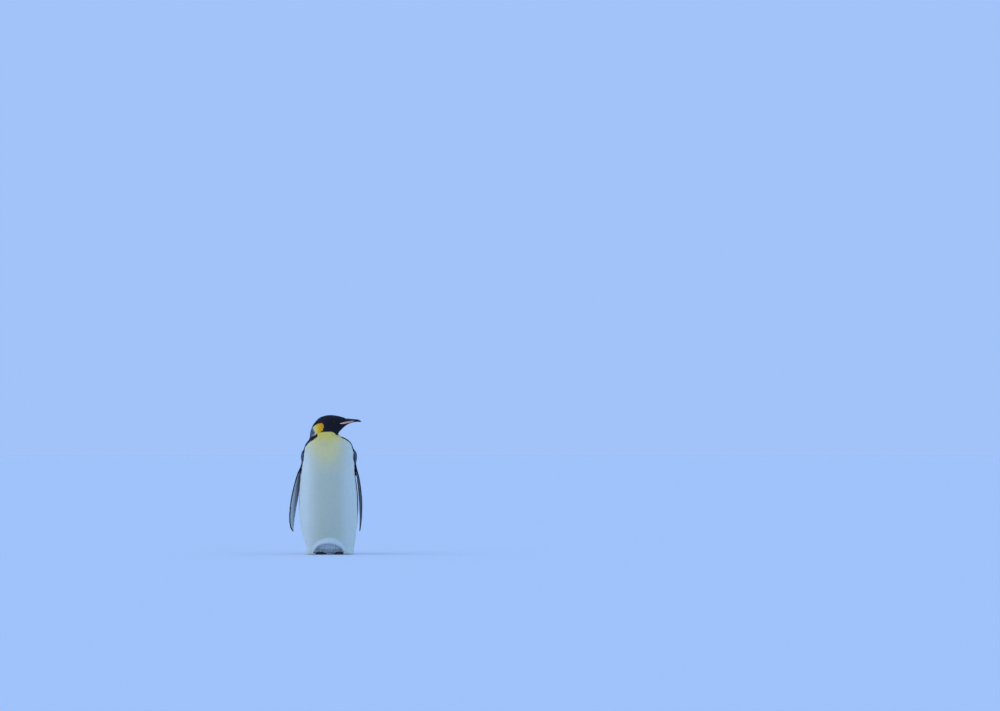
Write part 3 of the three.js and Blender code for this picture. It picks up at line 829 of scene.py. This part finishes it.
def plumage_pieces(places, part):
    """Each plumage piece's name, its vanes and the name of a material slot, which nothing uses: every piece
    takes the one plumage material.
    """
    x, y, z = bird_place(places)
    body = on_parts(part, TRUNK_LIKE)
    belly = body & (z >= HEM_TOP) & (z < BREAST_FOOT)
    breast = body & (z >= BREAST_FOOT)
    right, front = x < 0, y < 0
    return (
        ("hood_plumage", on_parts(part, ["head"]), "black_plumage"),
        ("neck_plumage", on_parts(part, ["neck"]), "white_plumage"),
        ("right_flipper_plumage", on_parts(part, ["right_flipper"]), "slate_plumage"),
        ("left_flipper_plumage", on_parts(part, ["left_flipper"]), "slate_plumage"),
        ("tail_coverts", on_parts(part, ["tail"]), "black_plumage"),
        ("hem_plumage", body & (z < HEM_TOP), "white_plumage"),
        ("right_belly_plumage", belly & front & right, "white_plumage"),
        ("left_belly_plumage", belly & front & ~right, "white_plumage"),
        ("breast_plumage", breast & front, "white_plumage"),
        ("right_rump_plumage", belly & ~front & right, "slate_plumage"),
        ("left_rump_plumage", belly & ~front & ~right, "slate_plumage"),
        ("mantle_plumage", breast & ~front, "slate_plumage"),
    )


def build_plumage(skin, part, flippers, fields, material):
    mesh = skin.data
    points, normals = points_of(mesh), normals_of(mesh)
    corners, loops = triangles_of(mesh)
    uv = np.empty(len(mesh.loops) * 2, np.float32)
    mesh.uv_layers["OFBake"].data.foreach_get("uv", uv)
    uv = uv.reshape(-1, 2)
    surface = Surface(points, corners, normals)
    horn = hard_parts()

    bare = on_parts(part, FEET)
    feathered = ~bare[corners].any(1) & (points[corners][:, :, 2].min(1) > BARE_SOLE)
    triangle, weights = scatter(points, corners, fields["spacing"], feathered)

    def at_root(values):
        held = values[corners[triangle]]
        return (held * weights.reshape(*weights.shape, *([1] * (held.ndim - 2)))).sum(1)

    clear = clear_roots(at_root(points), part[corners[triangle, 0]], horn)
    triangle, weights = triangle[clear], weights[clear]
    places = at_root(points)
    root_normals = unit(at_root(normals))
    root_part = part[corners[triangle, 0]]
    spots = (uv[loops[triangle]] * weights[:, :, None]).sum(1)
    flow = lie_of_coat(places, root_normals, root_part)
    side_step = unit(np.cross(flow, root_normals))
    flow = unit(flow + side_step * rng.normal(0, 0.09, (len(flow), 1)))
    sizes = [at_root(fields[key]) for key in ("length", "width", "lift")]
    length, width, lift = uneven_sizes(places, *sizes)

    along = [row for row, _ in VANE_SHAPE]
    gaps = np.diff([0.0] + along)
    rows, upward = surface.walk(places, flow, root_normals, [length * gap for gap in gaps])
    hang_hem(places, root_normals, root_part, length, rows, upward)
    clear = clear_rows(rows, places, root_part, horn)
    places, rows, upward, root_part, spots, width, lift = (
        values[clear] for values in (places, rows, upward, root_part, spots, width, lift)
    )
    marks = whole_black(marks_at(rows[:, MARKED_ROW], root_part, flippers))
    rise = np.interp(along, (0, 0.3, 1), (-0.35, 0.1, 1.0))
    shape = [(*row, up) for row, up in zip(VANE_SHAPE, rise)]
    for name, own, slot in plumage_pieces(places, root_part):
        vanes = (places[own], rows[own], upward[own], (width[own], lift[own]))
        piece = leaves(name, *vanes, shape, marks[own], spots[own], material)
        ride(piece)
    on_tail = on_parts(root_part, ["tail"])
    build_quills(surface, spots[on_tail].mean(0), material)


# ---- materials ---------------------------------------------------------------------------------


def srgb(code):
    """A linear colour from a 0xrrggbb code."""
    parts = [((code >> shift) & 255) / 255 for shift in (16, 8, 0)]
    return tuple(p / 12.92 if p <= 0.04045 else ((p + 0.055) / 1.055) ** 2.4 for p in parts) + (1.0,)


class Wire:
    """A shader output that takes part in Python expressions."""

    def __init__(self, shader, socket):
        self.shader = shader
        self.socket = socket

    def _math(self, operation, *values):
        return self.shader.node("ShaderNodeMath", {"operation": operation}, values)

    def __add__(self, other):
        return self._math("ADD", self, other)

    def __radd__(self, other):
        return self._math("ADD", other, self)

    def __sub__(self, other):
        return self._math("SUBTRACT", self, other)

    def __rsub__(self, other):
        return self._math("SUBTRACT", other, self)

    def __mul__(self, other):
        return self._math("MULTIPLY", self, other)

    def __rmul__(self, other):
        return self._math("MULTIPLY", other, self)

    def __truediv__(self, other):
        return self._math("DIVIDE", self, other)

    def sine(self):
        return self._math("SINE", self)

    def __pow__(self, other):
        return self._math("POWER", self, other)


class Shader:
    """A material with one Principled shader, and short ways to wire nodes to it."""

    def __init__(self, name, **constants):
        self.material = bpy.data.materials.new(name)
        self.material.use_nodes = True
        self.tree = self.material.node_tree
        self.surface = self.tree.nodes["Principled BSDF"]
        for socket, value in constants.items():
            self.surface.inputs[socket.replace("_", " ")].default_value = value

    def node(self, kind, settings=None, values=(), output=0):
        made = self.tree.nodes.new(kind)
        for key, value in (settings or {}).items():
            setattr(made, key, value)
        pairs = values.items() if isinstance(values, dict) else enumerate(values)
        for key, value in pairs:
            if isinstance(value, Wire):
                self.tree.links.new(value.socket, made.inputs[key])
            else:
                made.inputs[key].default_value = value
        return Wire(self, made.outputs[output])

    def mix(self, first, second, factor):
        """One colour into another. Sockets 0, 6 and 7 and output 2 are the node's for colours."""
        sockets = {0: factor, 6: first, 7: second}
        return self.node("ShaderNodeMix", {"data_type": "RGBA"}, sockets, 2)

    def ramp(self, value, low, high, start=0.0, end=1.0):
        """An easy change from start at low to end at high."""
        settings = {"interpolation_type": "SMOOTHSTEP"}
        return self.node("ShaderNodeMapRange", settings, (value, low, high, start, end))

    def clip(self, value):
        return self.node("ShaderNodeClamp", None, (value,))

    def attribute(self, name, output="Color"):
        return self.node("ShaderNodeAttribute", {"attribute_name": name}, (), output)

    def split(self, colour):
        parts = self.node("ShaderNodeSeparateColor", None, (colour,))
        return [Wire(self, parts.socket.node.outputs[i]) for i in range(3)]

    def parts(self, vector):
        made = self.node("ShaderNodeSeparateXYZ", None, (vector,))
        return [Wire(self, made.socket.node.outputs[i]) for i in range(3)]

    def place(self):
        return self.node("ShaderNodeTexCoord", None, (), "Object")

    def noise(self, scale, detail=3.0):
        values = {"Vector": self.place(), "Scale": scale, "Detail": detail, "Roughness": 0.55}
        return self.node("ShaderNodeTexNoise", None, values)

    def bump(self, height, strength, distance):
        values = {"Strength": strength, "Distance": distance, "Height": height}
        return self.node("ShaderNodeBump", None, values)

    def finish(self, **inputs):
        for socket, value in inputs.items():
            target = self.surface.inputs[socket.replace("_", " ")]
            if isinstance(value, Wire):
                self.tree.links.new(value.socket, target)
            else:
                target.default_value = value
        return self.material


# A darker buff: the plumage's own creamy tone, which the middle of the belly also takes as painted shade.
CREAM_AND_SHADE = srgb(0xC8CAA7)
WHITE = srgb(0xF6FCF8)
WHITE_SHADE = srgb(0xE4EAE6)
LEMON = srgb(0xFFE266)
GOLD = srgb(0xFFC00A)
ORANGE = srgb(0xFFA228)
BLACK = srgb(0x17151D)
BLACK_TIP = srgb(0x28242F)
SLATE = srgb(0x3E4553)
SLATE_TIP = srgb(0x6C7789)


def plumage_colour(shader, along, shade):
    """The colour of skin or vane from its four shares; along runs to a vane's tip."""
    black, slate, yellow = shader.split(shader.attribute("marks"))
    warm = shader.attribute("marks", "Alpha")
    white = shader.mix(WHITE_SHADE, WHITE, shader.ramp(along, 0.0, 0.7))
    # Below zero, warm mixes in the buff, which on the belly is partly painted shade.
    white = shader.mix(white, CREAM_AND_SHADE, shader.clip(warm * -1))
    colour = shader.mix(white, LEMON, yellow)
    colour = shader.mix(colour, GOLD, shader.clip(warm * 2))
    colour = shader.mix(colour, ORANGE, shader.clip(warm * 2 - 1))
    blue_tip = shader.mix(SLATE, SLATE_TIP, shader.ramp(along, 0.45, 1.0))
    colour = shader.mix(colour, blue_tip, slate)
    black_tip = shader.mix(BLACK, BLACK_TIP, shader.ramp(along, 0.5, 1.0))
    colour = shader.mix(colour, black_tip, black)
    value = 0.95 + shade * 0.1
    return shader.node("ShaderNodeHueSaturation", None, {"Value": value, "Color": colour})


def plumage_material():
    """Vanes, paler at the tip, with fine barbs across and a shaft down the middle."""
    shader = Shader("plumage", Roughness=0.75, Specular_IOR_Level=0.18)
    along, shade, side = shader.split(shader.attribute("vane"))
    drift = shader.noise(18.0)
    colour = plumage_colour(shader, along, shade * 0.6 + drift * 0.4)
    barbs = ((along - side * 0.45) * 75).sine()
    shaft = shader.ramp(side, 0.0, 0.1, 1.0, 0.0)
    value = 0.985 + barbs * 0.035 + shaft * 0.05
    colour = shader.node("ShaderNodeHueSaturation", None, {"Value": value, "Color": colour})
    normal = shader.bump(barbs * 0.5 + shaft, 0.35, 0.0002)
    return shader.finish(Base_Color=colour, Roughness=0.6 + drift * 0.2, Normal=normal)


def skin_material():
    shader = Shader("feathered_skin", Roughness=0.75, Specular_IOR_Level=0.3)
    drift = shader.noise(220.0)
    colour = plumage_colour(shader, drift * 0.5, drift)
    return shader.finish(Base_Color=colour, Normal=shader.bump(drift, 0.5, 0.001))


def horn_material():
    shader = Shader("dark_horn", Roughness=0.32, Specular_IOR_Level=0.5)
    grain = shader.noise(160.0)
    colour = shader.mix(srgb(0x141318), srgb(0x2C2628), grain)
    normal = shader.bump(grain, 0.2, 0.0004)
    return shader.finish(Base_Color=colour, Roughness=0.26 + grain * 0.2, Normal=normal)


PLATE_START, PLATE_LENGTH = 0.062, 0.092  # from the middle plane, and along the bill


def plate_material():
    """Pale at the gape, then orange, lilac-pink and, at the front end, dark."""
    shader = Shader("bill_plate", Roughness=0.35, Specular_IOR_Level=0.5)
    x, _, _ = shader.parts(shader.place())
    share = (x - (MIDDLE_X + PLATE_START)) / PLATE_LENGTH
    colour = shader.mix(srgb(0xFFDDBE), srgb(0xFFB98A), shader.ramp(share, 0.1, 0.42))
    colour = shader.mix(colour, srgb(0xE3AFA6), shader.ramp(share, 0.45, 0.75))
    colour = shader.mix(colour, srgb(0x3A2B2E), shader.ramp(share, 0.8, 1.0))
    grain = shader.noise(240.0)
    return shader.finish(Base_Color=colour, Roughness=0.3 + grain * 0.15)


def foot_material():
    shader = Shader("foot_skin", Roughness=0.6, Specular_IOR_Level=0.4)
    settings = {"feature": "DISTANCE_TO_EDGE"}
    cells = shader.node("ShaderNodeTexVoronoi", settings, {"Vector": shader.place(), "Scale": 320.0})
    groove = shader.ramp(cells, 0.0, 0.12)
    colour = shader.mix(srgb(0x15130F), srgb(0x34302C), groove)
    return shader.finish(Base_Color=colour, Normal=shader.bump(groove, 0.6, 0.0006))


def eye_material():
    """Dark brown round a black pupil, by the distance from the eye's own axis."""
    shader = Shader("eye", Roughness=0.04, Specular_IOR_Level=0.3)
    x, _, z = shader.parts(shader.place())
    middle_x, _, middle_z = (float(v) for v in EYES[0])
    from_axis = ((x - middle_x) ** 2 + (z - middle_z) ** 2) ** 0.5 * 1000
    rays = shader.noise(1400.0, 2.0)
    iris = shader.mix(srgb(0x27130A), srgb(0x4C2C1A), rays)
    colour = shader.mix(srgb(0x040404), iris, shader.ramp(from_axis, 2.5, 2.9))
    colour = shader.mix(colour, srgb(0x070504), shader.ramp(from_axis, 4.6, 5.6))
    return shader.finish(Base_Color=colour)


def lid_material():
    shader = Shader("eyelid_skin", Roughness=0.6, Specular_IOR_Level=0.25)
    grain = shader.noise(1500.0)
    colour = shader.mix(srgb(0x09090B), srgb(0x19161A), grain)
    return shader.finish(Base_Color=colour, Normal=shader.bump(grain, 0.5, 0.0003))


# ---- bill, eyes and claws ----------------------------------------------------------------------


def smooth_piece(node, label, voxel, passes, material, grow=0.0):
    """A finely remeshed, eased copy of a CAD node, which it replaces."""
    piece = joined_copy([node], label, grow)
    apply_modifier(piece, "REMESH", mode="VOXEL", voxel_size=voxel)
    mesh = piece.data
    set_points(mesh, eased(points_of(mesh), edges_of(mesh), passes))
    shade_smooth(mesh)
    mesh.materials.append(material)
    ride(piece)
    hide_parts(node)


def build_eyeball(side, material):
    bpy.ops.mesh.primitive_uv_sphere_add(
        segments=48, ring_count=32, radius=EYE_RADIUS, location=Vector(EYES[side == "left"])
    )
    eye = bpy.context.active_object
    eye.name = f"{side}_eyeball"
    bpy.ops.object.transform_apply(location=True, rotation=True, scale=True)
    shade_smooth(eye.data)
    eye.data.materials.append(material)
    ride(eye)
    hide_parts(f"{side}_eye")


def build_eyelids(side, material, skin_tree):
    """A ring of bare skin shaped from a torus, from the opening over the eye to the feathers."""
    centre = Vector(EYES[side == "left"])
    out = SIDES[side]

    def face_depth(turn):
        """How far out of the eye's middle the face lies, just outside the lids."""
        x, z = math.cos(turn) * LID_REACH * 1.12, math.sin(turn) * LID_REACH * 1.12
        start = Vector((centre.x + x, centre.y + out * 0.04, centre.z + z))
        hit = skin_tree.ray_cast(start, Vector((0, -out, 0)), 0.08)[0]
        return abs(hit.y - centre.y)

    def lid_point(turn, across, rise):
        """A place on the lids: across is 0 at the opening and 1 at the feathers."""
        cos, sin = math.cos(turn), math.sin(turn)
        corner = 1 + 0.14 * max(0, -cos) ** 8
        inner_x, inner_z = cos * EYE_OPENING[0] * corner, sin * EYE_OPENING[1]
        x = inner_x + (cos * LID_REACH - inner_x) * across
        z = inner_z + (sin * LID_REACH - inner_z) * across
        ball = math.sqrt(max(EYE_RADIUS**2 - x * x - z * z, 0))
        face = face_depth(turn + LID_TILT) + LID_PROUD
        fold = float(smoothstep(0.15, 0.75, across))
        swell = LID_SWELL * math.sin(math.pi * min(across * 1.6, 1))
        depth = max(ball, LID_LEAST_DEPTH) * (1 - fold) + face * fold + swell
        y = out * (depth + (rise - 0.6) * LID_THICKNESS * 0.5)
        cos, sin = math.cos(LID_TILT), math.sin(LID_TILT)
        return centre + Vector((x * cos - z * sin, y, x * sin + z * cos))

    tube = 0.25
    bpy.ops.mesh.primitive_torus_add(
        major_segments=64, minor_segments=20, major_radius=1, minor_radius=tube
    )
    lids = bpy.context.active_object
    lids.name = f"{side}_eyelids"
    for vertex in lids.data.vertices:
        x, y, z = vertex.co
        across = (math.hypot(x, y) - 1) / (2 * tube) + 0.5
        vertex.co = lid_point(math.atan2(y, x), across, z / tube)
    if out > 0:
        lids.data.flip_normals()
    shade_smooth(lids.data)
    lids.data.materials.append(material)
    ride(lids)


# ---- tail quills -------------------------------------------------------------------------------

QUILL_ROWS = 9
QUILLS_A_FAN = 15
QUILL_LENGTH = 0.094
QUILL_WIDTH = 0.0088
FAN_WIDTH = 0.072
FAN_APART = 0.03  # how far each fan starts from between the two
FAN_ROOT = Vector((MIDDLE_X + 0.003, BODY_Y + 0.118, 0.098))


def build_quills(surface, spot, material):
    """The stiff tail feathers: two fans of long vanes that start under the coverts."""
    middle = (QUILLS_A_FAN - 1) / 2
    starts, flows = [], []
    for out in (1, -1):
        for index in range(QUILLS_A_FAN):
            x = (index - middle) / middle
            across = Vector((x * FAN_WIDTH / 2, 0, 0))
            starts.append(FAN_ROOT + across + Vector((0, 0.84, 0.55)) * FAN_APART * out)
            flows.append((x * 0.06, 0.55, -0.84))
    starts, normals = surface.nearest(np.array(starts))
    flows = unit(np.array(flows))
    count = len(starts)
    length = QUILL_LENGTH - 0.016 * (flows[:, 0] / 0.06) ** 2 + rng.uniform(-0.003, 0.003, count)
    steps = [length / (QUILL_ROWS + 1)] * (QUILL_ROWS + 1)
    rows, upward = surface.walk(starts, flows, normals, steps, tip_free=1)
    along = (np.arange(QUILL_ROWS + 1) + 1) / (QUILL_ROWS + 1)
    point = 1 - np.clip((along - 0.72) / 0.28, 0, 1) ** 2
    share = np.clip(np.minimum(0.5 + along * 1.2, 1) * point, 0, 1)
    shape = list(zip(along, share, 0.3 + 0.7 * along))
    width = np.full(count, QUILL_WIDTH)
    lift = rng.uniform(0.0012, 0.003, count)
    marks = np.tile(np.array(ALL_BLACK, float), (count, 1))
    spots = np.tile(spot, (count, 1)) + rng.uniform(-0.004, 0.004, (count, 2))
    quills = leaves("tail_quills", starts, rows, upward, (width, lift), shape, marks, spots, material)
    ride(quills)


# ---- assembly ----------------------------------------------------------------------------------

HORN_VOXEL, PLATE_VOXEL = 0.0009, 0.00045
BILL_GROWTH, PLATE_GROWTH = 0.0004, 0.0006  # to close the cuts between the parts of the bill


def finish_skin(skin, part):
    """Feathered skin all over, apart from the scaly feet."""
    mesh = skin.data
    mesh.materials.append(skin_material())
    mesh.materials.append(foot_material())
    start = np.empty(len(mesh.polygons), np.int32)
    mesh.polygons.foreach_get("loop_start", start)
    vertex = np.empty(len(mesh.loops), np.int32)
    mesh.loops.foreach_get("vertex_index", vertex)
    on_foot = on_parts(part[vertex[start]], FEET)
    mesh.polygons.foreach_set("material_index", on_foot.astype(np.int32))
    ride(skin)
    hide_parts(*FLESH)


def build_horn():
    """The bill, its plates and the claws."""
    horn, plate = horn_material(), plate_material()
    smooth_piece("upper_bill", "culmen", HORN_VOXEL, 3, horn, BILL_GROWTH)
    smooth_piece("lower_bill", "mandible", HORN_VOXEL, 3, horn, BILL_GROWTH)
    for side in SIDES:
        node, label = f"{side}_bill_plate", f"{side}_mandible_plate"
        smooth_piece(node, label, PLATE_VOXEL, 8, plate, PLATE_GROWTH)
    for node in CLAWS:
        smooth_piece(node, f"{node}_horn", HORN_VOXEL, 4, horn)


def build_eyes(skin):
    eye, lid = eye_material(), lid_material()
    corners = triangles_of(skin.data)[0]
    skin_tree = BVHTree.FromPolygons(points_of(skin.data).tolist(), corners.tolist())
    for side in SIDES:
        build_eyeball(side, eye)
        build_eyelids(side, lid, skin_tree)


plumage = plumage_material()
skin, part, flippers, fields = build_skin()
finish_skin(skin, part)
build_plumage(skin, part, flippers, fields, plumage)
build_horn()
build_eyes(skin)

# ---- stage, light and camera -------------------------------------------------------------------

FLOOR_COLOUR = (0.685, 0.76, 0.845, 1)
AIR_COLOUR = srgb(0xA1C3FA)
IMAGE_WIDTH = 1000
IMAGE_CENTRE = (500.0, 355.5)
BIRD_PIXEL, FLOOR_PIXEL = 329.0, 554.0  # the body's middle plane, and the floor under the feet
PIXEL = 0.0058  # metres that a pixel covers at the bird
CAMERA_DISTANCE, CAMERA_HEIGHT = 25.0, 0.64


def add_floor():
    bpy.ops.mesh.primitive_plane_add(size=400)
    floor = bpy.context.active_object
    floor.name = "floor"
    shader = Shader("pale_floor", Roughness=0.9, Specular_IOR_Level=0.1)
    floor.data.materials.append(shader.finish(Base_Color=FLOOR_COLOUR))


def add_sun(name, azimuth, elevation, energy, colour, softness):
    """A soft, distant lamp; azimuth 0 is in front of the bird and 90 to its left, +X."""
    data = bpy.data.lights.new(name, "SUN")
    data.energy = energy
    data.color = colour
    data.angle = math.radians(softness)
    sun = link(bpy.data.objects.new(name, data))
    a, e = math.radians(azimuth), math.radians(elevation)
    place = Vector((math.sin(a) * math.cos(e), -math.cos(a) * math.cos(e), math.sin(e)))
    sun.location = place * 6
    sun.rotation_euler = (-place).to_track_quat("-Z", "Y").to_euler()


def add_world():
    world = bpy.data.worlds.new("studio")
    world.use_nodes = True
    background = world.node_tree.nodes["Background"]
    background.inputs["Color"].default_value = AIR_COLOUR
    background.inputs["Strength"].default_value = 1.0
    bpy.context.scene.world = world


def add_camera():
    """Almost level, from far away, with the bird left of the picture's middle."""
    aim_x = MIDDLE_X + (IMAGE_CENTRE[0] - BIRD_PIXEL) * PIXEL
    aim_z = (FLOOR_PIXEL - IMAGE_CENTRE[1]) * PIXEL
    data = bpy.data.cameras.new("camera")
    data.sensor_width = 36.0
    data.lens = data.sensor_width * CAMERA_DISTANCE / (IMAGE_WIDTH * PIXEL)
    data.clip_end = 1000
    camera = link(bpy.data.objects.new("camera", data))
    camera.location = (aim_x, -CAMERA_DISTANCE, CAMERA_HEIGHT)
    target = Vector((aim_x, 0, aim_z))
    camera.rotation_euler = (target - camera.location).to_track_quat("-Z", "Y").to_euler()
    bpy.context.scene.camera = camera


add_floor()
add_world()
add_sun("key", -78, 36, 0.5, (1.0, 0.93, 0.8), 60)
add_sun("right_rim", -125, 30, 0.25, (0.55, 0.75, 1.0), 80)
add_sun("left_rim", 108, 30, 0.4, (0.6, 0.78, 1.0), 80)
add_camera()
bpy.context.scene.view_settings.view_transform = "Standard"
